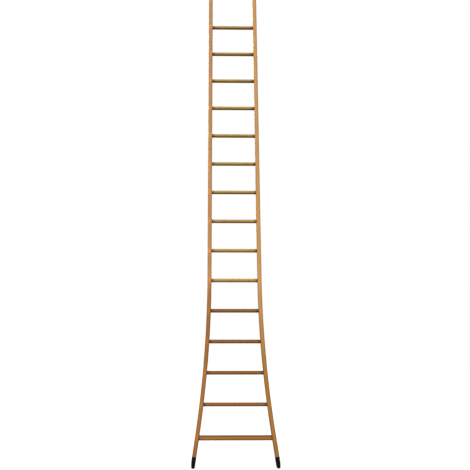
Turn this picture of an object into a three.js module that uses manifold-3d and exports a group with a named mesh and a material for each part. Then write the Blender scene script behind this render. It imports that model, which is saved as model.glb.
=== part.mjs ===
// Wooden single ladder: two bent stiles, fifteen turned rungs pinned through their tenons,
// and two rubber feet. Millimetres, +Z up, front towards -Y, +X to the right seen from the front.
// The origin is on the floor, midway between the feet.
import * as THREE from 'three';
import { mergeVertices } from 'three/addons/utils/BufferGeometryUtils.js';
import Module from 'manifold-3d';

const wasm = await Module();
wasm.setup();

// Rungs
const RUNG_COUNT = 15;
const LOWEST_RUNG_HEIGHT = 260;
const SECOND_RUNG_HEIGHT = 550;
const RUNG_PITCH = 280;
const RUNG_DIAMETER = 35;
const TENON_DIAMETER = 26;
const LOWEST_RUNG_DIAMETER = 45;
const LOWEST_TENON_DIAMETER = 32;
const HOUSING_DEPTH = 8;

// Stiles: outer widths are measured across both stiles
const STILE_WIDTH = 38;
const STILE_DEPTH = 64;
const STILE_EDGE_RADIUS = 14;
const STILE_ABOVE_TOP_RUNG = 300;
const STILE_TOP_CORNER_RADIUS = 16;
const LEAST_TOP_FLAT = 4;
const OUTER_WIDTH_AT_TOP = 472;
const OUTER_WIDTH_AT_BEND = 503;
const BEND_START_HEIGHT = 1700;
const BEND_RADIUS = 10000;
const FLARE_ANGLE = THREE.MathUtils.degToRad(8.6);

// Rubber feet on a spigot at each stile's lower end
const FOOT_LENGTH = 100;
const FOOT_WALL = 5;
const FOOT_PROUD = 0.5;
const FOOT_UPRIGHT_HEIGHT = 50;
const FOOT_CORNER_RADIUS = 12;
const SPIGOT_LENGTH = 60;
const SOLE_GROOVE_COUNT = 4;
const SOLE_GROOVE_PITCH = 11;
const SOLE_GROOVE_WIDTH = 3;
const SOLE_GROOVE_DEPTH = 2.5;

// Nails: one through each tenon, two through each foot
const RUNG_NAIL_LENGTH = 44;
const RUNG_NAIL_DIAMETER = 3.6;
const RUNG_NAIL_HEAD_DIAMETER = 6.4;
const FOOT_NAIL_LENGTH = 15;
const FOOT_NAIL_DIAMETER = 3.2;
const FOOT_NAIL_HEAD_DIAMETER = 9;
const FOOT_NAIL_DEPTH_BELOW_SHOULDER = 32;
const NAIL_HEAD_THICKNESS = 1.4;

// Space left between pieces that touch
const FIT_GAP = 0.3;

// Facets
const BEND_STEPS = 12;
const EDGE_STEPS = 4;
const CORNER_STEPS = 5;
const RUNG_SIDES = 24;
const TENON_SIDES = 16;
const NAIL_SIDES = 8;

const topRungHeight = SECOND_RUNG_HEIGHT + (RUNG_COUNT - 2) * RUNG_PITCH;
const ladderHeight = topRungHeight + STILE_ABOVE_TOP_RUNG;

// Cutting blocks reach this far past the solids that they cut
const CUT_MARGIN = 60;

// A long edge's rounding is at most this share of the top corner that it runs round
const MOST_EDGE_TO_CORNER = 0.88;

const SIDES = [['left', -1], ['right', 1]];

const stileFinish = { color: 0xc39156, roughness: 0.45, metalness: 0 };
const rungFinish = { color: 0xae8c45, roughness: 0.4, metalness: 0 };
const rubberFinish = { color: 0x1c1b1a, roughness: 0.7, metalness: 0 };
const steelFinish = { color: 0x8d8f92, roughness: 0.4, metalness: 0.9 };

// A closed mesh as a solid: shared vertices are merged and empty triangles at the poles dropped
function toSolid(geometry) {
  const bare = geometry.clone();
  bare.deleteAttribute('normal');
  bare.deleteAttribute('uv');
  const merged = mergeVertices(bare, 1e-3);
  const index = merged.index.array;
  const triVerts = [];
  for (let i = 0; i < index.length; i += 3) {
    const [a, b, c] = [index[i], index[i + 1], index[i + 2]];
    if (a !== b && b !== c && c !== a) {
      triVerts.push(a, b, c);
    }
  }
  const vertProperties = new Float32Array(merged.attributes.position.array);
  return new wasm.Manifold(new wasm.Mesh({
    numProp: 3,
    vertProperties,
    triVerts: new Uint32Array(triVerts),
  }));
}

function toGeometry(solid) {
  const mesh = solid.getMesh();
  const geometry = new THREE.BufferGeometry();
  geometry.setAttribute('position', new THREE.BufferAttribute(new Float32Array(mesh.vertProperties), 3));
  geometry.setIndex(new THREE.BufferAttribute(new Uint32Array(mesh.triVerts), 1));
  geometry.computeVertexNormals();
  return geometry;
}

function namedMesh(name, solid, finish) {
  const mesh = new THREE.Mesh(toGeometry(solid), new THREE.MeshStandardMaterial(finish));
  mesh.name = name;
  return mesh;
}

// A solid moved by a pose, as a mesh with that pose is
function posed(solid, pose) {
  return solid.transform(pose.elements);
}

function moveTo(x, y, z) {
  return new THREE.Matrix4().makeTranslation(x, y, z);
}

// Centre line of a stile: its distance from the ladder's middle and its lean at a height
const bendStartLean = Math.atan((OUTER_WIDTH_AT_BEND - OUTER_WIDTH_AT_TOP) / 2
  / (ladderHeight - BEND_START_HEIGHT));
const bendEndHeight = BEND_START_HEIGHT - BEND_RADIUS * (Math.sin(FLARE_ANGLE) - Math.sin(bendStartLean));
const centreAtBendStart = (OUTER_WIDTH_AT_BEND - STILE_WIDTH) / 2;
const centreAtBendEnd = centreAtBendStart
  + BEND_RADIUS * (Math.cos(bendStartLean) - Math.cos(FLARE_ANGLE));

function centreLine(height) {
  if (height >= BEND_START_HEIGHT) {
    const x = centreAtBendStart - (height - BEND_START_HEIGHT) * Math.tan(bendStartLean);
    return { x, lean: bendStartLean };
  }
  if (height >= bendEndHeight) {
    const lean = Math.asin(Math.sin(bendStartLean) + (BEND_START_HEIGHT - height) / BEND_RADIUS);
    return { x: centreAtBendStart + BEND_RADIUS * (Math.cos(bendStartLean) - Math.cos(lean)), lean };
  }
  return { x: centreAtBendEnd + (bendEndHeight - height) * Math.tan(FLARE_ANGLE), lean: FLARE_ANGLE };
}

// A point at a sideways distance from the centre line, outwards positive, in the front view
function besideCentreLine(side, height, distance) {
  const { x, lean } = centreLine(height);
  const out = x + distance * Math.cos(lean);
  return new THREE.Vector2(side * out, height + distance * Math.sin(lean));
}

// Heights where the stile's long faces turn, from the lower end up
function bendHeights() {
  const heights = [-CUT_MARGIN];
  for (let i = 0; i <= BEND_STEPS; i += 1) {
    heights.push(THREE.MathUtils.lerp(bendEndHeight, BEND_START_HEIGHT, i / BEND_STEPS));
  }
  return heights;
}

// A rounded corner at the stile's top end, from one edge angle to the next
function topCorner(side, distance, height, radius, fromAngle, toAngle) {
  const centre = centreLine(height).x + distance;
  const points = [];
  for (let i = 0; i <= CORNER_STEPS; i += 1) {
    const angle = THREE.MathUtils.lerp(fromAngle, toAngle, i / CORNER_STEPS);
    const x = centre + radius * Math.cos(angle);
    points.push(new THREE.Vector2(side * x, height + radius * Math.sin(angle)));
  }
  return points;
}

// A bar with the stile's course, grown on every side, that runs on below the floor
function stileBar(side, grow) {
  const half = STILE_WIDTH / 2 + grow;
  const cornerRadius = Math.min(STILE_TOP_CORNER_RADIUS + grow, half - LEAST_TOP_FLAT / 2);
  const edgeRadius = Math.min(STILE_EDGE_RADIUS + grow, MOST_EDGE_TO_CORNER * cornerRadius);
  const heights = bendHeights();
  const cornerHeight = ladderHeight + grow - cornerRadius;
  const cornerOffset = half - cornerRadius;
  const outline = [
    ...heights.map((height) => besideCentreLine(side, height, half)),
    ...topCorner(side, cornerOffset, cornerHeight, cornerRadius, 0, Math.PI / 2),
    ...topCorner(side, -cornerOffset, cornerHeight, cornerRadius, Math.PI / 2, Math.PI),
    ...heights.reverse().map((height) => besideCentreLine(side, height, -half)),
  ];
  const flatDepth = STILE_DEPTH + 2 * grow - 2 * edgeRadius;
  const bar = new THREE.ExtrudeGeometry(new THREE.Shape(outline), {
    depth: flatDepth,
    bevelSize: edgeRadius,
    bevelThickness: edgeRadius,
    bevelOffset: -edgeRadius,
    bevelSegments: EDGE_STEPS,
  });
  bar.rotateX(Math.PI / 2);
  bar.translate(0, flatDepth / 2, 0);
  return toSolid(bar);
}

// The pose of a stile's shoulder, where the foot begins: its Z axis runs up along the stile
function shoulderPose(side) {
  const lean = new THREE.Matrix4().makeRotationY(-side * FLARE_ANGLE);
  return moveTo(side * centreLine(FOOT_LENGTH).x, 0, FOOT_LENGTH).multiply(lean);
}

// Everything on a stile's lower end that lies further along it than a distance below the shoulder
function belowShoulder(side, distance) {
  const size = 2 * CUT_MARGIN + FOOT_LENGTH + STILE_DEPTH;
  const block = new THREE.BoxGeometry(size, size, size);
  block.translate(0, 0, -size / 2 - distance);
  return posed(toSolid(block), shoulderPose(side));
}

// A turned solid along X from its half section: radii and places along its axis
function turned(profile, sides) {
  const points = profile.map(([radius, along]) => new THREE.Vector2(radius, along));
  const geometry = new THREE.LatheGeometry(points, sides);
  geometry.rotateZ(-Math.PI / 2);
  return toSolid(geometry);
}

function turnedRod(radius, halfLength, sides) {
  return turned([[0, -halfLength], [radius, -halfLength], [radius, halfLength], [0, halfLength]], sides);
}

// A flat-head nail along X, head at the origin and point towards +X, grown to make its hole
function nailSolid(length, diameter, headDiameter, grow) {
  const shank = diameter / 2 + grow;
  const head = headDiameter / 2 + grow;
  const profile = [
    [0, -grow],
    [head, -grow],
    [head, NAIL_HEAD_THICKNESS + grow],
    [shank, NAIL_HEAD_THICKNESS + grow],
    [shank, length + grow],
    [0, length + grow],
  ];
  return turned(profile, NAIL_SIDES);
}

function rungNailSolid(grow) {
  return nailSolid(RUNG_NAIL_LENGTH, RUNG_NAIL_DIAMETER, RUNG_NAIL_HEAD_DIAMETER, grow);
}

function footNailSolid(grow) {
  return nailSolid(FOOT_NAIL_LENGTH, FOOT_NAIL_DIAMETER, FOOT_NAIL_HEAD_DIAMETER, grow);
}

// A rung's nail is driven from the stile's front edge through the middle of the tenon
function rungNailPose(side, height) {
  const quarterTurn = new THREE.Matrix4().makeRotationZ(Math.PI / 2);
  return moveTo(side * centreLine(height).x, -STILE_DEPTH / 2, height).multiply(quarterTurn);
}

// A foot's nail is driven square to the flank that faces +X or -X
function footNailPose(side, face) {
  const flank = moveTo(face * (STILE_WIDTH / 2 + FOOT_PROUD), 0, -FOOT_NAIL_DEPTH_BELOW_SHOULDER);
  const inwards = new THREE.Matrix4().makeRotationZ(face > 0 ? Math.PI : 0);
  return shoulderPose(side).multiply(flank).multiply(inwards);
}

// Every rung's height and diameters, from the lowest up
const rungs = [{ height: LOWEST_RUNG_HEIGHT, diameter: LOWEST_RUNG_DIAMETER, tenon: LOWEST_TENON_DIAMETER }];
for (let above = 0; above < RUNG_COUNT - 1; above += 1) {
  rungs.push({
    height: SECOND_RUNG_HEIGHT + above * RUNG_PITCH,
    diameter: RUNG_DIAMETER,
    tenon: TENON_DIAMETER,
  });
}

// A rung's body and through tenons about its own middle, grown to make its housings and holes
function rungSolid({ height, diameter, tenon }, grow) {
  const { x, lean } = centreLine(height);
  const innerFace = x - STILE_WIDTH / 2 / Math.cos(lean);
  const bodyEnd = innerFace + HOUSING_DEPTH - FIT_GAP + grow;
  const body = turnedRod(diameter / 2 + grow, bodyEnd, RUNG_SIDES);
  return body.add(turnedRod(tenon / 2 + grow, x + STILE_WIDTH, TENON_SIDES));
}

// The wood that a rung's tenon may fill: inside the stiles' outer faces
function betweenOuterFaces() {
  const heights = bendHeights();
  heights.push(ladderHeight);
  const half = STILE_WIDTH / 2 - FIT_GAP;
  const outline = [
    ...heights.map((height) => besideCentreLine(1, height, half)),
    ...heights.reverse().map((height) => besideCentreLine(-1, height, half)),
  ];
  const slab = new THREE.ExtrudeGeometry(new THREE.Shape(outline), {
    depth: STILE_DEPTH,
    bevelEnabled: false,
  });
  slab.rotateX(Math.PI / 2);
  slab.translate(0, STILE_DEPTH / 2, 0);
  return toSolid(slab);
}

function makeStile(side) {
  const rail = stileBar(side, 0).subtract(belowShoulder(side, 0));
  const spigot = stileBar(side, -FOOT_WALL - FIT_GAP)
    .intersect(belowShoulder(side, -FIT_GAP))
    .subtract(belowShoulder(side, SPIGOT_LENGTH));
  let stile = rail.add(spigot);
  for (const size of rungs) {
    stile = stile
      .subtract(rungSolid(size, FIT_GAP).translate([0, 0, size.height]))
      .subtract(posed(rungNailSolid(FIT_GAP), rungNailPose(side, size.height)));
  }
  for (const face of [-1, 1]) {
    stile = stile.subtract(posed(footNailSolid(FIT_GAP), footNailPose(side, face)));
  }
  return stile;
}

// A rung about its own middle, its tenons planed to the stiles' outer faces
function makeRung(size, slab) {
  let rung = rungSolid(size, 0).intersect(slab.translate([0, 0, -size.height]));
  for (const side of [-1, 1]) {
    const nailHole = posed(rungNailSolid(FIT_GAP), rungNailPose(side, size.height));
    rung = rung.subtract(nailHole.translate([0, 0, -size.height]));
  }
  return rung;
}

// The foot's front view: flanks along the stile, of which the outer one turns upright above a level sole
function footFrontView(side) {
  const half = STILE_WIDTH / 2 + FOOT_PROUD;
  const slope = Math.tan(FLARE_ANGLE);
  const soleCentre = centreLine(0).x;
  const halfSole = half / Math.cos(FLARE_ANGLE);
  const top = FOOT_LENGTH + CUT_MARGIN;
  const faceAt = (sign, height) => [side * (soleCentre + sign * halfSole - height * slope), height];
  const outer = faceAt(1, FOOT_UPRIGHT_HEIGHT)[0];
  const inner = faceAt(-1, 0)[0];
  const view = new THREE.Shape();
  view.moveTo(...faceAt(1, top));
  view.lineTo(outer, FOOT_UPRIGHT_HEIGHT);
  view.lineTo(outer, FOOT_CORNER_RADIUS);
  view.quadraticCurveTo(outer, 0, outer - side * FOOT_CORNER_RADIUS, 0);
  view.lineTo(inner + side * FOOT_CORNER_RADIUS, 0);
  view.quadraticCurveTo(inner, 0, ...faceAt(-1, FOOT_CORNER_RADIUS));
  view.lineTo(...faceAt(-1, top));
  const depth = STILE_DEPTH + 2 * CUT_MARGIN;
  const block = new THREE.ExtrudeGeometry(view, {
    depth,
    bevelEnabled: false,
    curveSegments: CORNER_STEPS,
  });
  block.rotateX(Math.PI / 2);
  block.translate(0, depth / 2, 0);
  return toSolid(block);
}

// The foot's side view: full depth, with rounded corners at the sole's front and back
function footSideView(side) {
  const half = STILE_DEPTH / 2 + FOOT_PROUD;
  const top = FOOT_LENGTH + CUT_MARGIN;
  const view = new THREE.Shape();
  view.moveTo(half, top);
  view.lineTo(-half, top);
  view.lineTo(-half, FOOT_CORNER_RADIUS);
  view.quadraticCurveTo(-half, 0, -half + FOOT_CORNER_RADIUS, 0);
  view.lineTo(half - FOOT_CORNER_RADIUS, 0);
  view.quadraticCurveTo(half, 0, half, FOOT_CORNER_RADIUS);
  const depth = STILE_WIDTH + 2 * CUT_MARGIN;
  const block = new THREE.ExtrudeGeometry(view, {
    depth,
    bevelEnabled: false,
    curveSegments: CORNER_STEPS,
  });
  block.rotateX(Math.PI / 2);
  block.rotateZ(Math.PI / 2);
  block.translate(side * centreLine(0).x - depth / 2, 0, 0);
  return toSolid(block);
}

function makeFoot(side) {
  const socket = stileBar(side, -FOOT_WALL).subtract(belowShoulder(side, SPIGOT_LENGTH + FIT_GAP));
  let foot = stileBar(side, FOOT_PROUD)
    .intersect(belowShoulder(side, FIT_GAP))
    .intersect(footFrontView(side))
    .intersect(footSideView(side))
    .subtract(socket);
  for (let i = 0; i < SOLE_GROOVE_COUNT; i += 1) {
    const groove = new THREE.BoxGeometry(2 * STILE_WIDTH, SOLE_GROOVE_WIDTH, 2 * SOLE_GROOVE_DEPTH);
    groove.translate(side * centreLine(0).x, (i - (SOLE_GROOVE_COUNT - 1) / 2) * SOLE_GROOVE_PITCH, 0);
    foot = foot.subtract(toSolid(groove));
  }
  for (const face of [-1, 1]) {
    foot = foot.subtract(posed(footNailSolid(FIT_GAP), footNailPose(side, face)));
  }
  return foot;
}

// One side of the ladder: its stile, with the rubber foot nailed on
function sideGroup(word, side) {
  const group = new THREE.Group();
  group.add(namedMesh(`stile_${word}`, makeStile(side), stileFinish));
  group.add(namedMesh(`foot_${word}`, makeFoot(side), rubberFinish));
  for (const [faceWord, face] of [['inner', -side], ['outer', side]]) {
    const nail = namedMesh(`foot_nail_${word}_${faceWord}`, footNailSolid(0), steelFinish);
    nail.applyMatrix4(footNailPose(side, face));
    group.add(nail);
  }
  return group;
}

// One rung with the nails through its two tenons
function rungGroup(size, number, slab) {
  const group = new THREE.Group();
  const label = String(number).padStart(2, '0');
  const rung = namedMesh(`rung_${label}`, makeRung(size, slab), rungFinish);
  rung.position.z = size.height;
  group.add(rung);
  for (const [word, side] of SIDES) {
    const nail = namedMesh(`rung_nail_${label}_${word}`, rungNailSolid(0), steelFinish);
    nail.applyMatrix4(rungNailPose(side, size.height));
    group.add(nail);
  }
  return group;
}

const ladder = new THREE.Group();
for (const [word, side] of SIDES) {
  ladder.add(sideGroup(word, side));
}
const slab = betweenOuterFaces();
rungs.forEach((size, index) => ladder.add(rungGroup(size, index + 1, slab)));

export default ladder;
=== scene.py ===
"""A wooden single ladder: two bent pine stiles, fifteen turned beech rungs pinned by nails, two rubber feet.

Metres, +Z up, front towards -Y, origin on the floor midway between the feet.
"""

import math
import random

import bmesh
import bpy
from mathutils import Matrix, Vector


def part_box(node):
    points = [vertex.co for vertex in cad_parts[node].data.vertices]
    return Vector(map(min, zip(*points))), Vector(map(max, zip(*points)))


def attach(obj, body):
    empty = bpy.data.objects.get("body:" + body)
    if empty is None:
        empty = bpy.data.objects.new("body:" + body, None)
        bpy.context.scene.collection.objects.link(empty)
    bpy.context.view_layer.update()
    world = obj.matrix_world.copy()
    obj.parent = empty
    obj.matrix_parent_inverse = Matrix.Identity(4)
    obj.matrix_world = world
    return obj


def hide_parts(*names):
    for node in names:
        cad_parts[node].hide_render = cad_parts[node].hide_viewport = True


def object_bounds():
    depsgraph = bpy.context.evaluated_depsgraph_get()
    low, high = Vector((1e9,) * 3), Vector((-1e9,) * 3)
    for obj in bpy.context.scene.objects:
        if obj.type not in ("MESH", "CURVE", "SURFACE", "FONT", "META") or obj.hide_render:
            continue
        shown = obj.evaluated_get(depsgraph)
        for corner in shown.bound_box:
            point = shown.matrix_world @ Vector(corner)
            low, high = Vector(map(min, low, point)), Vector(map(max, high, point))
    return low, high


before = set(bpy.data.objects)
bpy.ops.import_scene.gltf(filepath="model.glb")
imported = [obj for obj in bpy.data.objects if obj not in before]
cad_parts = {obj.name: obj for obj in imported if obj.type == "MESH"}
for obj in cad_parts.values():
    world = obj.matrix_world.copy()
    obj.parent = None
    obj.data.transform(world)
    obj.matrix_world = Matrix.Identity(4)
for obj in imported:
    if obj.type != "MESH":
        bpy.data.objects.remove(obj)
cad_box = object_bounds()

MM = 0.001
SIDES = {"left": -1, "right": 1}

# Stiles: outer widths are measured across both stiles
STILE_WIDTH = 38 * MM
STILE_DEPTH = 64 * MM
STILE_EDGE_RADIUS = 14 * MM
STILE_TOP_CORNER_RADIUS = 16 * MM
OUTER_WIDTH_AT_TOP = 472 * MM
OUTER_WIDTH_AT_BEND = 503 * MM
BEND_START_HEIGHT = 1700 * MM
BEND_RADIUS = 10000 * MM
FLARE_ANGLE = math.radians(8.6)

# Rungs, numbered from the lowest up
RUNG_NUMBERS = range(1, 16)
TENON_DIAMETER = 26 * MM
LOWEST_TENON_DIAMETER = 32 * MM
HOUSING_DEPTH = 8 * MM
RUNG_ARRIS = 0.8 * MM
TENON_ARRIS = 0.5 * MM

# Rubber feet on a spigot at each stile's lower end
FOOT_LENGTH = 100 * MM
FOOT_WALL = 5 * MM
FOOT_PROUD = 0.5 * MM
FOOT_UPRIGHT_HEIGHT = 50 * MM
FOOT_TURN = 15 * MM
FOOT_CORNER_RADIUS = 12 * MM
FOOT_RIM_RADIUS = 1.2 * MM
SPIGOT_LENGTH = 60 * MM
SOLE_GROOVE_COUNT = 4
SOLE_GROOVE_PITCH = 11 * MM
SOLE_GROOVE_WIDTH = 3 * MM
SOLE_GROOVE_DEPTH = 2.5 * MM

# Nails: one through each tenon, two through each foot
RUNG_NAIL = {"length": 44 * MM, "shank": 3.6 * MM, "head": 6.4 * MM}
FOOT_NAIL = {"length": 15 * MM, "shank": 3.2 * MM, "head": 9 * MM}
FOOT_NAIL_DEPTH_BELOW_SHOULDER = 32 * MM
NAIL_HEAD_THICKNESS = 1.4 * MM
NAIL_HEAD_DOME = 0.25 * MM
NAIL_POINT_LENGTH = 5 * MM

# The gap that shows round a joint driven home, and the wider one between the frame's pieces
SEEN_GAP = 0.12 * MM
FIT_GAP = 0.3 * MM

# Facets
BEND_STEPS = 36
EDGE_STEPS = 8
CORNER_STEPS = 8
TURN_STEPS = 6
RUNG_SIDES = 48
NAIL_SIDES = 24
SHARP_ANGLE = math.radians(32)

ladder_height = cad_box[1].z

# The camera of the photograph: just under the fourth rung's height, left of the middle, looking up a little
CAMERA_PLACE = (-0.348, -6.0, 1.087)
CAMERA_PITCH = math.radians(9.592)
CAMERA_YAW = math.radians(0.935)
CAMERA_SENSOR = 36
CAMERA_LENS = 49.53
CAMERA_SHIFT_X = 0.0583
CAMERA_SHIFT_Y = -0.0005
CAMERA_SEES_TO = 100

# The room: its own dim light, and a floor that glows just enough to show as white
ROOM_STRENGTH = 0.07
FLOOR_GLOW = 0.85
FLOOR_REACH = 30


def linear(colour):
    """An sRGB hex colour as linear red, green, blue and alpha."""
    parts = [int(colour[i:i + 2], 16) / 255 for i in (1, 3, 5)]
    return [c / 12.92 if c <= 0.04045 else ((c + 0.055) / 1.055) ** 2.4 for c in parts] + [1.0]


def add(tree, kind, links=None, stops=None, **settings):
    """Adds a node: settings are its properties, links its inputs' values or the outputs that feed them."""
    node = tree.nodes.new("ShaderNode" + kind)
    for name, value in settings.items():
        setattr(node, name, value)
    for socket, value in (links or {}).items():
        if isinstance(value, bpy.types.NodeSocket):
            tree.links.new(value, node.inputs[socket])
        else:
            node.inputs[socket].default_value = value
    for i, (place, colour) in enumerate(stops or ()):
        elements = node.color_ramp.elements
        element = elements[i] if i < len(elements) else elements.new(place)
        element.position = place
        element.color = linear(colour)
    return node


def place_camera():
    camera = bpy.data.objects.new("photo_camera", bpy.data.cameras.new("photo_camera"))
    camera.location = CAMERA_PLACE
    camera.rotation_euler = (math.pi / 2 + CAMERA_PITCH, 0, -CAMERA_YAW)
    camera.data.sensor_width = CAMERA_SENSOR
    camera.data.lens = CAMERA_LENS
    camera.data.shift_x = CAMERA_SHIFT_X
    camera.data.shift_y = CAMERA_SHIFT_Y
    camera.data.clip_end = CAMERA_SEES_TO
    bpy.context.scene.collection.objects.link(camera)
    bpy.context.scene.camera = camera


def far_softbox(name, azimuth, elevation, spread, strength):
    """A large far-off softbox, its angles in degrees: azimuth 0 shines from the front, 90 from the right."""
    lamp = bpy.data.objects.new(name, bpy.data.lights.new(name, "SUN"))
    lamp.rotation_euler = (math.radians(90 - elevation), 0, math.radians(azimuth))
    lamp.data.angle = math.radians(spread)
    lamp.data.energy = strength
    bpy.context.scene.collection.objects.link(lamp)


def low_panel(name, place, aim, size, power):
    """A square lamp near the floor, turned to what it is aimed at."""
    lamp = bpy.data.objects.new(name, bpy.data.lights.new(name, "AREA"))
    lamp.location = place
    lamp.rotation_euler = (Vector(aim) - Vector(place)).to_track_quat("-Z", "Y").to_euler()
    lamp.data.size = size
    lamp.data.energy = power
    bpy.context.scene.collection.objects.link(lamp)


def shows_white(tree):
    """1 on the rays that carry the backdrop's own picture: from the camera, in gloss and through glass."""
    path = add(tree, "LightPath").outputs
    gloss = add(tree, "Math", {0: path["Is Camera Ray"], 1: path["Is Glossy Ray"]}, operation="MAXIMUM")
    every = {0: gloss.outputs[0], 1: path["Is Transmission Ray"]}
    return add(tree, "Math", every, operation="MAXIMUM").outputs[0]


def light_room():
    """A dim pale room that shows as white, lit from all round, and low down for the lowest rungs."""
    world = bpy.data.worlds.new("pale_room")
    world.use_nodes = True
    bpy.context.scene.world = world
    tree = world.node_tree
    dim = tree.nodes["Background"]
    dim.inputs["Color"].default_value = linear("#ffffff")
    dim.inputs["Strength"].default_value = ROOM_STRENGTH
    white = add(tree, "Background", {"Color": linear("#ffffff"), "Strength": 1.0})
    room = add(tree, "MixShader", {0: shows_white(tree), 1: dim.outputs[0], 2: white.outputs[0]})
    tree.links.new(room.outputs[0], tree.nodes["World Output"].inputs["Surface"])
    far_softbox("front_softbox", azimuth=-12, elevation=45, spread=14, strength=3.6)
    far_softbox("side_softbox", azimuth=130, elevation=40, spread=20, strength=1.7)
    far_softbox("back_softbox", azimuth=200, elevation=25, spread=20, strength=0.9)
    low_panel("floor_panel", place=(-0.5, -2.2, 0.1), aim=(0, 0, 0.8), size=0.5, power=12)


def lay_floor():
    """A matt pale floor that reads as white and keeps the ladder's soft shadow round its feet."""
    material = bpy.data.materials.new("matt_painted_floor")
    material.use_nodes = True
    tree = material.node_tree
    tree.nodes.clear()
    paint = add(tree, "BsdfDiffuse", {"Color": linear("#808080")})
    glow_strength = add(tree, "Math", {0: shows_white(tree), 1: FLOOR_GLOW}, operation="MULTIPLY")
    glow = add(tree, "Emission", {"Strength": glow_strength.outputs[0]})
    both = add(tree, "AddShader", {0: paint.outputs[0], 1: glow.outputs[0]})
    add(tree, "OutputMaterial", {"Surface": both.outputs[0]})
    sheet = bmesh.new()
    bmesh.ops.create_grid(sheet, x_segments=1, y_segments=1, size=FLOOR_REACH)
    mesh = bpy.data.meshes.new("floor")
    sheet.to_mesh(mesh)
    sheet.free()
    mesh.materials.append(material)
    floor = bpy.data.objects.new("floor", mesh)
    bpy.context.scene.collection.objects.link(floor)


# Materials: a colour mix's sockets, and its two kinds, a layer that covers and a glaze that only dims
FACTOR, UNDER, OVER, MIXED = 0, 6, 7, 2
COVER = {"data_type": "RGBA"}
GLAZE = {"data_type": "RGBA", "blend_type": "MULTIPLY"}

# A range's sockets: what it reads, where its stretch starts and ends, and what it gives at either end
VALUE, START, END, AT_START, AT_END = range(5)

# Pine: how wide its tone streaks, fibres and yearly rings are
PINE_STREAK = 26 * MM
PINE_FIBRE = 1.1 * MM
PINE_RING = 3.2 * MM

# How far those rings wander, over lumps of what size, and where their middle lies from a stile's
PINE_RING_DRIFT = 9 * MM
PINE_RING_LUMP = 20 * MM
PINE_PITH = (-95 * MM, 60 * MM, 0)

# How far each stile's board is yellower than plain pine
BOARD_TONE = {"left": 0.05, "right": 0.45}

# The paler patch round a rung, a painted highlight: where it starts to fade and where it is gone, from the
# rung's middle
JOINT_HIGHLIGHT_FULL = 12 * MM
JOINT_HIGHLIGHT_GONE = 38 * MM

# Painted shade darkens and browns a stile from one height down to another, which is lower by the drop times
# its board's tone
SHADE_STARTS_BELOW = 1840 * MM
SHADE_FULLEST_BELOW = 1620 * MM
SHADE_FULLEST_DROP = 1300 * MM

# Dirt lies above the foot, below this height, and the tone streaks make it and the painted shade waver
SOILED_BELOW = 480 * MM
HEIGHT_WAVER = 300 * MM

# The edges darkened with painted shade: where they start and where they are fullest, from the board's middle
EDGE_START = 9 * MM
EDGE_FULL = 17 * MM

# Beech: how wide its tone streaks, ray flecks and yearly rings are
BEECH_STREAK = 24 * MM
BEECH_FLECK = 1.3 * MM
BEECH_RING = 2.6 * MM

# How far those rings wander, and where their middle lies in the wood that the rungs are cut from
BEECH_RING_DRIFT = 6 * MM
BEECH_PITH = (0, -45 * MM, -20 * MM)

# The lowest rungs, painted darker and redder as painted shade: the colour they are painted, and how far their
# tops are blackened
PAINTED_LOW_RUNG_SHADE = {
    1: ("#a7732f", 1.0),
    2: ("#935f27", 0.5),
    **{number: ("#8f5c26", 0.5) for number in (3, 4, 5)},
}

# How far painted shade reaches along a rung from its stiles, less far on the lowest rung
CORNER_SHADE_REACH = 34 * MM
LOWEST_CORNER_SHADE_REACH = 11 * MM

# End grain shows on the faces at a rung's ends that turn away from its axis by less than this
END_GRAIN_TURN = math.radians(60)

# Rubber and steel
RUBBER_PEBBLE = 1.5 * MM
RUBBER_SCUFF = 9 * MM
DUST_HEIGHT = 15 * MM
OXIDE_SPOT = 2 * MM


def new_material(name, metallic=0.0, ior=1.5, shine=0.5):
    """A material whose uniform values sit on the shader itself."""
    material = bpy.data.materials.new(name)
    material.use_nodes = True
    shader = material.node_tree.nodes["Principled BSDF"]
    shader.inputs["Metallic"].default_value = metallic
    shader.inputs["IOR"].default_value = ior
    shader.inputs["Specular IOR Level"].default_value = shine
    return material, material.node_tree, shader


def lumps(tree, vector, size, detail, stretch=(1, 1, 1)):
    """0 to 1 over soft lumps about size across, longer by stretch along each axis of the grain."""
    scale = [1 / (size * s) for s in stretch]
    mapped = add(tree, "Mapping", {"Vector": vector, "Scale": scale})
    return add(tree, "TexNoise", {"Vector": mapped.outputs[0], "Scale": 1.0, "Detail": detail}).outputs[0]


def growth_rings(tree, grain, pith, across, spacing, wander, drift):
    """0 to 1 over each year's growth, from pale early wood to dark late wood, then 0 again.

    The rings lie round the pith in the two axes that run across the grain, and wander by up to the drift.
    """
    from_pith = add(tree, "VectorMath", {0: grain, 1: pith}, operation="SUBTRACT")
    level = add(tree, "VectorMath", {0: from_pith.outputs[0], 1: across}, operation="MULTIPLY")
    radius = add(tree, "VectorMath", {0: level.outputs[0]}, operation="LENGTH").outputs["Value"]
    drifted = add(tree, "Math", {0: wander, 1: drift, 2: radius}, operation="MULTIPLY_ADD")
    years = add(tree, "Math", {0: drifted.outputs[0], 1: spacing}, operation="DIVIDE")
    return add(tree, "Math", {0: years.outputs[0]}, operation="FRACT").outputs[0]


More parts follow.
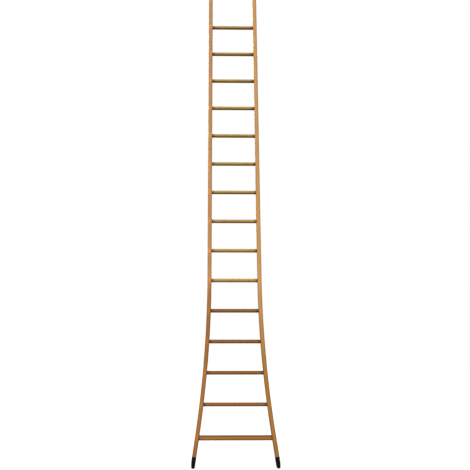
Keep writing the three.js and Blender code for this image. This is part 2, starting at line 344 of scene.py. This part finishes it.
def varnished_pine():
    """Planed pine under satin varnish: amber, with long straight lines of darker late wood.

    The late wood stands a hair proud under the varnish. Its lines are too fine to show from as far off as
    the photograph was taken, so the board's tone also drifts in streaks as broad as show there. Round each
    rung the stile is painted paler and more orange, a painted highlight. The lower part is painted darker and
    browner as painted shade, along its edges most of all, and dirt has settled just above the foot.
    """
    material, tree, shader = new_material("satin_varnished_pine", shine=0.13)
    grain = add(tree, "Attribute", attribute_name="grain").outputs["Vector"]
    height = add(tree, "SeparateXYZ", {0: add(tree, "TexCoord").outputs["Object"]}).outputs["Z"]
    drift = lumps(tree, grain, PINE_STREAK, detail=2.0, stretch=(1, 1, 9))
    wood = add(tree, "ValToRGB", {0: drift}, [
        (0.3, "#c58e57"),
        (0.5, "#cc955d"),
        (0.72, "#d59f68"),
    ]).outputs[0]
    board = add(tree, "Attribute", attribute_name="board").outputs["Fac"]
    wood = add(tree, "Mix", {FACTOR: board, UNDER: wood, OVER: linear("#dfb570")}, **COVER).outputs[MIXED]
    from_second = add(tree, "Math", {0: height, 1: rung_size(2)[0]}, operation="SUBTRACT")
    half_pitch = (rung_size(3)[0] - rung_size(2)[0]) / 2
    to_rung = add(tree, "Math", {0: from_second.outputs[0], 1: half_pitch}, operation="PINGPONG")
    # Round each rung the stile is painted paler and more orange, a painted highlight
    joint_highlight = add(tree, "MapRange", {
        VALUE: to_rung.outputs[0],
        START: JOINT_HIGHLIGHT_FULL,
        END: JOINT_HIGHLIGHT_GONE,
        AT_START: 0.7,
        AT_END: 0.0,
    })
    wood = add(tree, "Mix", {
        FACTOR: joint_highlight.outputs[0],
        UNDER: wood,
        OVER: linear("#e8a55d"),
    }, **COVER).outputs[MIXED]
    wander = lumps(tree, grain, PINE_RING_LUMP, detail=1.0, stretch=(1, 1, 24))
    year = growth_rings(tree, grain, PINE_PITH, (1, 1, 0), PINE_RING, wander, PINE_RING_DRIFT)
    late = add(tree, "ValToRGB", {0: year}, [
        (0.0, "#ffffff"),
        (0.55, "#fbf8f4"),
        (0.86, "#ddcebc"),
        (1.0, "#ffffff"),
    ]).outputs[0]
    wood = add(tree, "Mix", {FACTOR: 1.0, UNDER: wood, OVER: late}, **GLAZE).outputs[MIXED]
    fibre = lumps(tree, grain, PINE_FIBRE, detail=3.0, stretch=(1, 1, 45))
    streak = add(tree, "ValToRGB", {0: fibre}, [(0.3, "#e2dcd4"), (0.7, "#ffffff")]).outputs[0]
    wood = add(tree, "Mix", {FACTOR: 0.8, UNDER: wood, OVER: streak}, **GLAZE).outputs[MIXED]
    wavered_height = add(tree, "Math", {0: drift, 1: HEIGHT_WAVER, 2: height}, operation="MULTIPLY_ADD")
    # Below the middle the stile is darkened and browned with painted shade, starting lower on the yellower
    # board
    shade_fullest_below = add(tree, "Math", {0: board, 1: -SHADE_FULLEST_DROP, 2: SHADE_FULLEST_BELOW}, operation="MULTIPLY_ADD")
    painted_low_shade = add(tree, "MapRange", {
        VALUE: wavered_height.outputs[0],
        START: shade_fullest_below.outputs[0],
        END: SHADE_STARTS_BELOW,
        AT_START: 1.0,
        AT_END: 0.0,
    })
    wood = add(tree, "Mix", {
        FACTOR: painted_low_shade.outputs[0],
        UNDER: wood,
        OVER: linear("#d2c29f"),
    }, **GLAZE).outputs[MIXED]
    soiled = add(tree, "MapRange", {
        VALUE: wavered_height.outputs[0],
        START: FOOT_LENGTH,
        END: SOILED_BELOW,
        AT_START: 1.0,
        AT_END: 0.0,
    })
    wood = add(tree, "Mix", {
        FACTOR: soiled.outputs[0],
        UNDER: wood,
        OVER: linear("#dcd6cf"),
    }, **GLAZE).outputs[MIXED]
    # The rounded edges are darkened further with painted shade, as far down as the lower painted shade
    # reaches
    across = add(tree, "Math", {0: add(tree, "SeparateXYZ", {0: grain}).outputs["X"]}, operation="ABSOLUTE")
    edge = add(tree, "MapRange", {VALUE: across.outputs[0], START: EDGE_START, END: EDGE_FULL})
    edge_painted_shade = add(tree, "Math", {0: edge.outputs[0], 1: painted_low_shade.outputs[0]}, operation="MULTIPLY")
    wood = add(tree, "Mix", {
        FACTOR: edge_painted_shade.outputs[0],
        UNDER: wood,
        OVER: linear("#e2dad0"),
    }, **GLAZE).outputs[MIXED]
    tree.links.new(wood, shader.inputs["Base Color"])
    sheen = add(tree, "MapRange", {VALUE: fibre, AT_START: 0.36, AT_END: 0.5})
    tree.links.new(sheen.outputs[0], shader.inputs["Roughness"])
    relief = add(tree, "Math", {0: year, 1: 0.6, 2: fibre}, operation="MULTIPLY_ADD")
    bump = add(tree, "Bump", {"Height": relief.outputs[0], "Distance": 0.12 * MM, "Strength": 0.7})
    tree.links.new(bump.outputs[0], shader.inputs["Normal"])
    return material


def varnished_beech(name, end_grain=False):
    """Turned beech under satin varnish: faint growth rings and short dark ray flecks along the grain.

    The flecks are of real size, too fine to show from far off, so the tone also drifts in broader streaks.
    The undersides are painted darker and browner, as painted shade. The lowest rungs are painted darker
    and redder, as painted shade, and their tops are blackened further. Where a rung enters its stile it is
    darkened with painted shade. End grain drinks more varnish and is darker.
    """
    material, tree, shader = new_material(name, shine=0.13)
    grain = add(tree, "Attribute", attribute_name="grain").outputs["Vector"]
    drift = lumps(tree, grain, BEECH_STREAK, detail=2.0, stretch=(8, 1, 1))
    year = growth_rings(tree, grain, BEECH_PITH, (0, 1, 1), BEECH_RING, drift, BEECH_RING_DRIFT)
    wood = add(tree, "ValToRGB", {0: drift}, [
        (0.3, "#a98742"),
        (0.5, "#b5944c"),
        (0.7, "#c2a158"),
    ]).outputs[0]
    upwards = add(tree, "Attribute", attribute_name="upwards").outputs["Fac"]
    # The undersides are darkened and browned with painted shade
    underside = add(tree, "MapRange", {VALUE: upwards, START: -0.2, END: -0.7})
    wood = add(tree, "Mix", {
        FACTOR: underside.outputs[0],
        UNDER: wood,
        OVER: linear("#d9c6a8"),
    }, **GLAZE).outputs[MIXED]
    # The lowest rungs are painted darker and redder as painted shade; their tops are blackened further
    low_rung_shaded = add(tree, "Attribute", attribute_name="low_rung_shaded").outputs["Fac"]
    low_rung_shade_colour = add(tree, "Attribute", attribute_name="low_rung_shade_colour").outputs["Color"]
    wood = add(tree, "Mix", {FACTOR: low_rung_shaded, UNDER: wood, OVER: low_rung_shade_colour}, **COVER).outputs[MIXED]
    top = add(tree, "MapRange", {VALUE: upwards, START: 0.0, END: 0.7})
    most = add(tree, "Attribute", attribute_name="blackened").outputs["Fac"]
    blackened = add(tree, "Math", {0: top.outputs[0], 1: most}, operation="MULTIPLY")
    wood = add(tree, "Mix", {
        FACTOR: blackened.outputs[0],
        UNDER: wood,
        OVER: linear("#9a8b6e"),
    }, **GLAZE).outputs[MIXED]
    late = add(tree, "ValToRGB", {0: year}, [
        (0.5, "#ffffff"),
        (0.92, "#e0d4c4"),
        (1.0, "#ffffff"),
    ]).outputs[0]
    wood = add(tree, "Mix", {FACTOR: 0.7, UNDER: wood, OVER: late}, **GLAZE).outputs[MIXED]
    fleck = lumps(tree, grain, BEECH_FLECK, detail=2.0, stretch=(9, 1, 1))
    flecked = add(tree, "ValToRGB", {0: fleck}, [(0.36, "#b5a590"), (0.52, "#ffffff")]).outputs[0]
    wood = add(tree, "Mix", {FACTOR: 0.6, UNDER: wood, OVER: flecked}, **GLAZE).outputs[MIXED]
    # End grain is darker; elsewhere each rung's ends next to the stiles are darkened with painted shade
    if end_grain:
        dark = 0.45
    else:
        from_stile = add(tree, "Attribute", attribute_name="from_stile").outputs["Fac"]
        dark = add(tree, "MapRange", {VALUE: from_stile, AT_START: 0.85, AT_END: 0.0}).outputs[0]
    wood = add(tree, "Mix", {FACTOR: dark, UNDER: wood, OVER: linear("#38200c")}, **COVER).outputs[MIXED]
    tree.links.new(wood, shader.inputs["Base Color"])
    sheen = add(tree, "MapRange", {VALUE: fleck, AT_START: 0.44, AT_END: 0.36})
    tree.links.new(sheen.outputs[0], shader.inputs["Roughness"])
    bump = add(tree, "Bump", {"Height": fleck, "Distance": 0.08 * MM, "Strength": 0.6})
    tree.links.new(bump.outputs[0], shader.inputs["Normal"])
    return material


def moulded_rubber():
    """Moulded black rubber: matt, faintly pebbled by the mould, greyed by dust near the sole."""
    material, tree, shader = new_material("moulded_black_rubber", ior=1.52, shine=0.06)
    place = add(tree, "TexCoord").outputs["Object"]
    pebble = lumps(tree, place, RUBBER_PEBBLE, detail=3.0)
    scuff = lumps(tree, place, RUBBER_SCUFF, detail=3.0)
    height = add(tree, "SeparateXYZ", {0: place}).outputs["Z"]
    low = add(tree, "MapRange", {
        VALUE: height,
        START: 0.0,
        END: DUST_HEIGHT,
        AT_START: 0.25,
        AT_END: 0.01,
    })
    dusty = add(tree, "Math", {0: low.outputs[0], 1: scuff}, operation="MULTIPLY")
    colour = add(tree, "Mix", {
        FACTOR: dusty.outputs[0],
        UNDER: linear("#040404"),
        OVER: linear("#3a3733"),
    }, **COVER).outputs[MIXED]
    tree.links.new(colour, shader.inputs["Base Color"])
    sheen = add(tree, "MapRange", {VALUE: scuff, AT_START: 0.6, AT_END: 0.8})
    tree.links.new(sheen.outputs[0], shader.inputs["Roughness"])
    bump = add(tree, "Bump", {"Height": pebble, "Distance": 0.15 * MM, "Strength": 0.5})
    tree.links.new(bump.outputs[0], shader.inputs["Normal"])
    return material


def steel_wire(name, dull, bright):
    """Drawn steel wire with an upset head: softly shining, dulled in spots by oxide.

    Under the wood's varnish it turns amber and hardly shows. In the rubber it stays grey.
    """
    material, tree, shader = new_material(name, metallic=1.0)
    place = add(tree, "TexCoord").outputs["Object"]
    oxide = lumps(tree, place, OXIDE_SPOT, detail=4.0)
    colour = add(tree, "ValToRGB", {0: oxide}, [(0.35, dull), (0.6, bright)]).outputs[0]
    tree.links.new(colour, shader.inputs["Base Color"])
    sheen = add(tree, "MapRange", {VALUE: oxide, AT_START: 0.55, AT_END: 0.35})
    tree.links.new(sheen.outputs[0], shader.inputs["Roughness"])
    return material


# Meshes

def loft(mesh, rings):
    """Adds a closed body over rings of points; strips between a ring's two halves close both its ends."""
    rows = [[mesh.verts.new(point) for point in ring] for ring in rings]
    count = len(rows[0])
    for lower, upper in zip(rows, rows[1:]):
        for i in range(count):
            j = (i + 1) % count
            mesh.faces.new((lower[i], lower[j], upper[j], upper[i]))
    for row in (rows[0], rows[-1]):
        for i in range(count // 2 - 1):
            mesh.faces.new((row[i], row[i + 1], row[-i - 2], row[-i - 1]))


def to_mesh(name, work):
    """The worked mesh as mesh data, its faces turned outwards."""
    bmesh.ops.recalc_face_normals(work, faces=work.faces)
    mesh = bpy.data.meshes.new(name)
    work.to_mesh(mesh)
    work.free()
    return mesh


def cutter(name, bodies):
    """An object that holds several closed bodies, each given by its rings."""
    work = bmesh.new()
    for rings in bodies:
        loft(work, rings)
    tool = bpy.data.objects.new(name, to_mesh(name, work))
    bpy.context.scene.collection.objects.link(tool)
    return tool


def cut(name, rings, tools):
    """Mesh data of the body over these rings after the tools have cut it."""
    work = bmesh.new()
    loft(work, rings)
    blank = bpy.data.objects.new(name, to_mesh(name, work))
    bpy.context.scene.collection.objects.link(blank)
    for tool in tools:
        modifier = blank.modifiers.new(tool.name, "BOOLEAN")
        modifier.operation = "DIFFERENCE"
        modifier.solver = "EXACT"
        modifier.object = tool
    shaped = blank.evaluated_get(bpy.context.evaluated_depsgraph_get())
    mesh = bpy.data.meshes.new_from_object(shaped)
    bpy.data.objects.remove(blank)
    return mesh


def finish_piece(node, mesh, materials):
    """Shades a mesh and shows it in place of the frame's node."""
    for material in materials:
        mesh.materials.append(material)
    mesh.shade_smooth()
    mesh.set_sharp_from_angle(angle=SHARP_ANGLE)
    piece = bpy.data.objects.new(node + "_finished", mesh)
    bpy.context.scene.collection.objects.link(piece)
    piece.modifiers.new("flat_faces_stay_flat", "WEIGHTED_NORMAL").keep_sharp = True
    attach(piece, "root")
    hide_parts(node)
    return piece


def store(mesh, name, kind, read):
    """Writes a value or vector for each point of a mesh, which its material then reads."""
    layer = mesh.attributes.new(name, kind, "POINT")
    field = "vector" if kind == "FLOAT_VECTOR" else "value"
    for point, entry in zip(mesh.vertices, layer.data):
        setattr(entry, field, read(point.co))


def quarter_turn(steps):
    """The angles of a quarter turn in equal steps, both ends included."""
    return [math.pi / 2 * i / steps for i in range(steps + 1)]


def raised(rings, height):
    """Rings about the origin, lifted to a height."""
    return [[point + Vector((0, 0, height)) for point in ring] for ring in rings]


# Centre line of a stile
bend_start_lean = math.atan(
    (OUTER_WIDTH_AT_BEND - OUTER_WIDTH_AT_TOP) / 2 / (ladder_height - BEND_START_HEIGHT)
)
bend_end_height = BEND_START_HEIGHT - BEND_RADIUS * (math.sin(FLARE_ANGLE) - math.sin(bend_start_lean))
centre_at_bend_start = (OUTER_WIDTH_AT_BEND - STILE_WIDTH) / 2
centre_at_bend_end = centre_at_bend_start + BEND_RADIUS * (math.cos(bend_start_lean) - math.cos(FLARE_ANGLE))


def centre_line(height):
    """Distance of a stile's centre line from the ladder's middle, and its lean, at a height."""
    if height >= BEND_START_HEIGHT:
        x = centre_at_bend_start - (height - BEND_START_HEIGHT) * math.tan(bend_start_lean)
        return x, bend_start_lean
    if height >= bend_end_height:
        lean = math.asin(math.sin(bend_start_lean) + (BEND_START_HEIGHT - height) / BEND_RADIUS)
        return centre_at_bend_start + BEND_RADIUS * (math.cos(bend_start_lean) - math.cos(lean)), lean
    return centre_at_bend_end + (bend_end_height - height) * math.tan(FLARE_ANGLE), FLARE_ANGLE


def beside_centre_line(side, height, across, through):
    """The point at a sideways distance from the centre line, outwards positive, and a depth."""
    x, lean = centre_line(height)
    return Vector((side * (x + across * math.cos(lean)), through, height + across * math.sin(lean)))


# Passes that bring the height found below closer than can be seen
SQUARING_PASSES = 3


def off_centre_line(side, point):
    """A point's sideways distance from the centre line, and the height where it lies square to that line."""
    height = point.z
    for _ in range(SQUARING_PASSES):
        x, lean = centre_line(height)
        across = (side * point.x - x) * math.cos(lean) + (point.z - height) * math.sin(lean)
        height = point.z - across * math.sin(lean)
    return across, height


def rail_section(grow):
    """The stile's rounded section: the outer half from front to back, then the inner half back again."""
    half = STILE_WIDTH / 2 + grow
    radius = STILE_EDGE_RADIUS + grow
    flat = STILE_DEPTH / 2 + grow - radius
    turns = quarter_turn(EDGE_STEPS)
    front = [(half - radius + radius * math.sin(t), -flat - radius * math.cos(t)) for t in turns]
    outer = front + [(across, -through) for across, through in reversed(front)]
    return outer + [(-across, through) for across, through in reversed(outer)]


def rail_ring(side, height, grow=0.0):
    return [beside_centre_line(side, height, *point) for point in rail_section(grow)]


def top_ring(side, turn):
    """A section of the stile's top, where both corners are rounded in the front view."""
    corner = STILE_WIDTH / 2 - STILE_TOP_CORNER_RADIUS
    height = ladder_height - STILE_TOP_CORNER_RADIUS
    middle = centre_line(height)[0]
    ring = []
    for across, through in rail_section(0):
        reach = abs(across) - corner
        out = math.copysign(corner + reach * math.cos(turn), across)
        ring.append(Vector((side * (middle + out), through, height + reach * math.sin(turn))))
    return ring


def stile_rings(side):
    """A whole stile from its spigot's lower end to its rounded top."""
    spigot_grow = -FOOT_WALL - FIT_GAP
    spigot_end = FOOT_LENGTH - SPIGOT_LENGTH * math.cos(FLARE_ANGLE)
    bend_height = BEND_START_HEIGHT - bend_end_height
    bend = [bend_end_height + bend_height * i / BEND_STEPS for i in range(BEND_STEPS + 1)]
    return [
        rail_ring(side, spigot_end, spigot_grow),
        rail_ring(side, FOOT_LENGTH, spigot_grow),
        rail_ring(side, FOOT_LENGTH),
        *[rail_ring(side, height) for height in bend],
        *[top_ring(side, turn) for turn in quarter_turn(CORNER_STEPS)],
    ]


def turned_rings(profile, sides, end_at=None):
    """Rings round the X axis from places along it and radii; end_at moves a ring's points along the axis."""
    rings = []
    for along, radius in profile:
        ring = []
        for i in range(sides):
            turn = 2 * math.pi * (i + 0.5) / sides
            y, z = radius * math.cos(turn), radius * math.sin(turn)
            ring.append(Vector((end_at(along, z) if end_at else along, y, z)))
        rings.append(ring)
    return rings


def rung_size(number):
    """A rung's height and diameter, from the frame, and its tenon's diameter."""
    low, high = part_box(f"rung_{number:02d}")
    tenon = LOWEST_TENON_DIAMETER if number == 1 else TENON_DIAMETER
    return (low.z + high.z) / 2, high.y - low.y, tenon


def inner_face(height):
    """Distance of a stile's inner face from the ladder's middle at a height."""
    x, lean = centre_line(height)
    return x - STILE_WIDTH / 2 / math.cos(lean)


def rung_rings(number):
    """A rung about its own middle, its tenons planed flush with the stiles' leaning outer faces."""
    height, diameter, tenon = rung_size(number)
    middle, lean = centre_line(height)
    shoulder = inner_face(height) + HOUSING_DEPTH - FIT_GAP
    end = middle + STILE_WIDTH / 2 / math.cos(lean)
    slope = math.tan(lean)
    half = [
        (end, tenon / 2 - TENON_ARRIS),
        (end - TENON_ARRIS, tenon / 2),
        (shoulder, tenon / 2),
        (shoulder, diameter / 2 - RUNG_ARRIS),
        (shoulder - RUNG_ARRIS, diameter / 2),
        (inner_face(height), diameter / 2),
    ]
    profile = [(-along, radius) for along, radius in half] + [(0, diameter / 2)] + half[::-1]

    def planed(along, z):
        return along - math.copysign(slope * z, along) if abs(along) > shoulder else along

    return turned_rings(profile, RUNG_SIDES, planed)


def rung_cutter_rings(number):
    """The housings and tenon holes of one rung, through both stiles."""
    height, diameter, tenon = rung_size(number)
    floor = inner_face(height) + HOUSING_DEPTH
    beyond = centre_line(height)[0] + STILE_WIDTH
    half = [
        (beyond, tenon / 2 + SEEN_GAP),
        (floor, tenon / 2 + SEEN_GAP),
        (floor, diameter / 2 + SEEN_GAP),
    ]
    profile = [(-along, radius) for along, radius in half] + half[::-1]
    return raised(turned_rings(profile, RUNG_SIDES), height)


def nail_rings(size, pose, gap=0.0):
    """A flat-head nail, its head's domed face at the pose's origin and its point towards the pose's +X.

    Down its length come the face from near its middle to the rim, the head's underside, the shank and the
    blunt point.
    """
    shank, head = size["shank"] / 2 + gap, size["head"] / 2 + gap
    profile = [
        (-gap, head * 0.3),
        (NAIL_HEAD_DOME * 0.35 - gap, head * 0.7),
        (NAIL_HEAD_DOME - gap, head * 0.94),
        (NAIL_HEAD_DOME * 2, head),
        (NAIL_HEAD_THICKNESS + gap, head * 0.96),
        (NAIL_HEAD_THICKNESS + gap, shank),
        (size["length"] - NAIL_POINT_LENGTH, shank),
        (size["length"] + gap, shank * 0.12),
    ]
    return [[pose @ point for point in ring] for ring in turned_rings(profile, NAIL_SIDES)]


def rung_nail_pose(side, number):
    """A rung's nail is driven from the stile's front edge through the middle of the tenon."""
    height = rung_size(number)[0]
    front = beside_centre_line(side, height, 0, -STILE_DEPTH / 2)
    return Matrix.Translation(front) @ Matrix.Rotation(math.pi / 2, 4, "Z")


def shoulder_pose(side):
    """The middle of a stile's shoulder, where the foot begins, its Z axis up along the stile."""
    middle = beside_centre_line(side, FOOT_LENGTH, 0, 0)
    return Matrix.Translation(middle) @ Matrix.Rotation(-side * FLARE_ANGLE, 4, "Y")


def foot_nail_pose(side, face):
    """A foot's nail is driven square to the flank that faces +X or -X."""
    flank = Matrix.Translation((face * (STILE_WIDTH / 2 + FOOT_PROUD), 0, -FOOT_NAIL_DEPTH_BELOW_SHOULDER))
    inwards = Matrix.Rotation(math.pi if face > 0 else 0, 4, "Z")
    return shoulder_pose(side) @ flank @ inwards


def foot_section(side, height, inset=0.0):
    """A level section of a foot: the inner flank follows the stile, the outer one turns upright low down.

    The outer flank turns along a parabola, from FOOT_TURN above FOOT_UPRIGHT_HEIGHT to as far below it.
    """
    reach = STILE_WIDTH / 2 + FOOT_PROUD
    half = reach / math.cos(FLARE_ANGLE)
    middle = centre_line(height)[0]
    turned = min(max(FOOT_UPRIGHT_HEIGHT + FOOT_TURN - height, 0), 2 * FOOT_TURN)
    past = max(FOOT_UPRIGHT_HEIGHT - FOOT_TURN - height, 0)
    drawn_in = math.tan(FLARE_ANGLE) * (turned ** 2 / (4 * FOOT_TURN) + past)
    inner, outer = middle - half + inset, middle + half - drawn_in - inset
    ring = []
    for across, through in rail_section(FOOT_PROUD - inset):
        x = (inner + outer) / 2 + across / (reach - inset) * (outer - inner) / 2
        ring.append(Vector((side * x, through, height)))
    return ring


def foot_rings(side):
    """A hollow rubber cap from its socket's floor, over the rim and down to a level sole with round edges."""
    lean = math.cos(FLARE_ANGLE)
    rim = FOOT_LENGTH - FIT_GAP * lean
    socket_end = FOOT_LENGTH - (SPIGOT_LENGTH + FIT_GAP) * lean
    rings = [rail_ring(side, socket_end, -FOOT_WALL), rail_ring(side, rim, -FOOT_WALL)]
    for turn in quarter_turn(CORNER_STEPS):
        inset = FOOT_RIM_RADIUS * (1 - math.sin(turn))
        drop = FOOT_RIM_RADIUS * (1 - math.cos(turn)) * lean
        rings.append(rail_ring(side, rim - drop, FOOT_PROUD - inset))
    for i in range(TURN_STEPS + 1):
        height = FOOT_UPRIGHT_HEIGHT + FOOT_TURN * (1 - 2 * i / TURN_STEPS)
        rings.append(foot_section(side, height))
    for i in range(CORNER_STEPS + 1):
        t = i / CORNER_STEPS
        rings.append(foot_section(side, FOOT_CORNER_RADIUS * (1 - t) ** 2, FOOT_CORNER_RADIUS * t ** 2))
    return rings


def sole_groove_rings(side):
    """Round-bottomed bars along X that cut the grooves of a sole."""
    middle = centre_line(0)[0]
    radius = SOLE_GROOVE_WIDTH / 2
    turns = [math.pi * i / EDGE_STEPS for i in range(EDGE_STEPS + 1)]
    arch = [(radius * math.cos(t), SOLE_GROOVE_DEPTH - radius + radius * math.sin(t)) for t in turns]
    outline = arch + [(-across, -height) for across, height in arch]
    ends = [side * middle - STILE_WIDTH, side * middle + STILE_WIDTH]
    bodies = []
    for i in range(SOLE_GROOVE_COUNT):
        y = (i - (SOLE_GROOVE_COUNT - 1) / 2) * SOLE_GROOVE_PITCH
        bodies.append([[Vector((x, y + across, height)) for across, height in outline] for x in ends])
    return bodies


# Pieces: each takes its grain from a chance place, in a length of pine or in a block of beech
GRAIN_SEED = 7
PINE_LENGTH = 5
BEECH_BLOCK = 3

grain_chance = random.Random(GRAIN_SEED)


def make_stiles(material, rung_tool, nail_tool):
    for word, side in SIDES.items():
        mesh = cut(f"stile_{word}", stile_rings(side), [rung_tool, nail_tool])
        start = grain_chance.uniform(0, PINE_LENGTH)

        def in_board(co):
            across, height = off_centre_line(side, co)
            return across * side, co.y, height + start

        store(mesh, "grain", "FLOAT_VECTOR", in_board)
        store(mesh, "board", "FLOAT", lambda co: BOARD_TONE[word])
        finish_piece(f"stile_{word}", mesh, [material])


def make_rungs(beech, end_grain, nail_tool):
    for number in RUNG_NUMBERS:
        height, diameter, _ = rung_size(number)
        mesh = cut(f"rung_{number:02d}", raised(rung_rings(number), height), [nail_tool])
        start = Vector([grain_chance.uniform(0, BEECH_BLOCK) for _ in range(3)])
        # How far the painted shade at the rung's ends reaches
        reach = LOWEST_CORNER_SHADE_REACH if number == 1 else CORNER_SHADE_REACH
        # The lowest rungs take their painted shade colour and how far their tops are blackened
        low_rung_shade_colour, blackened = PAINTED_LOW_RUNG_SHADE.get(number, ("#ffffff", 0.0))
        store(mesh, "grain", "FLOAT_VECTOR", lambda co: co - Vector((0, 0, height)) + start)
        store(mesh, "from_stile", "FLOAT", lambda co: (inner_face(height) - abs(co.x)) / reach)
        store(mesh, "upwards", "FLOAT", lambda co: (co.z - height) / (diameter / 2))
        store(mesh, "low_rung_shaded", "FLOAT", lambda co: float(number in PAINTED_LOW_RUNG_SHADE))
        store(mesh, "low_rung_shade_colour", "FLOAT_VECTOR", lambda co: linear(low_rung_shade_colour)[:3])
        store(mesh, "blackened", "FLOAT", lambda co: blackened)
        piece = finish_piece(f"rung_{number:02d}", mesh, [beech, end_grain])
        for face in piece.data.polygons:
            beyond = abs(face.center.x) > inner_face(height) + HOUSING_DEPTH
            if beyond and abs(face.normal.x) > math.cos(END_GRAIN_TURN):
                face.material_index = 1


def make_feet(rubber, nail_tool):
    for word, side in SIDES.items():
        grooves = cutter(f"grooves_{word}", sole_groove_rings(side))
        mesh = cut(f"foot_{word}", foot_rings(side), [grooves, nail_tool])
        finish_piece(f"foot_{word}", mesh, [rubber])
        bpy.data.objects.remove(grooves)


def make_nail(node, size, pose, steel):
    work = bmesh.new()
    loft(work, nail_rings(size, pose))
    finish_piece(node, to_mesh(node, work), [steel])


def make_nails(in_wood, in_rubber):
    for word, side in SIDES.items():
        for number in RUNG_NUMBERS:
            pose = rung_nail_pose(side, number)
            make_nail(f"rung_nail_{number:02d}_{word}", RUNG_NAIL, pose, in_wood)
        for face_word, face in (("inner", -side), ("outer", side)):
            pose = foot_nail_pose(side, face)
            make_nail(f"foot_nail_{word}_{face_word}", FOOT_NAIL, pose, in_rubber)


bpy.context.scene.view_settings.view_transform = "Standard"
place_camera()
light_room()
lay_floor()

rung_holes = cutter("rung_holes", [rung_cutter_rings(number) for number in RUNG_NUMBERS])
rung_nail_poses = [rung_nail_pose(side, number) for side in SIDES.values() for number in RUNG_NUMBERS]
foot_nail_poses = [foot_nail_pose(side, face) for side in SIDES.values() for face in (-1, 1)]
nail_holes = cutter("nail_holes", [
    *[nail_rings(RUNG_NAIL, pose, SEEN_GAP) for pose in rung_nail_poses],
    *[nail_rings(FOOT_NAIL, pose, SEEN_GAP) for pose in foot_nail_poses],
])
make_stiles(varnished_pine(), rung_holes, nail_holes)
make_rungs(
    varnished_beech("satin_varnished_beech"),
    varnished_beech("beech_end_grain", end_grain=True),
    nail_holes,
)
make_feet(moulded_rubber(), nail_holes)
make_nails(
    steel_wire("varnished_steel_wire", "#5c4226", "#8a6a40"),
    steel_wire("bright_steel_wire", "#6b6560", "#a3a5a8"),
)
bpy.data.objects.remove(rung_holes)
bpy.data.objects.remove(nail_holes)
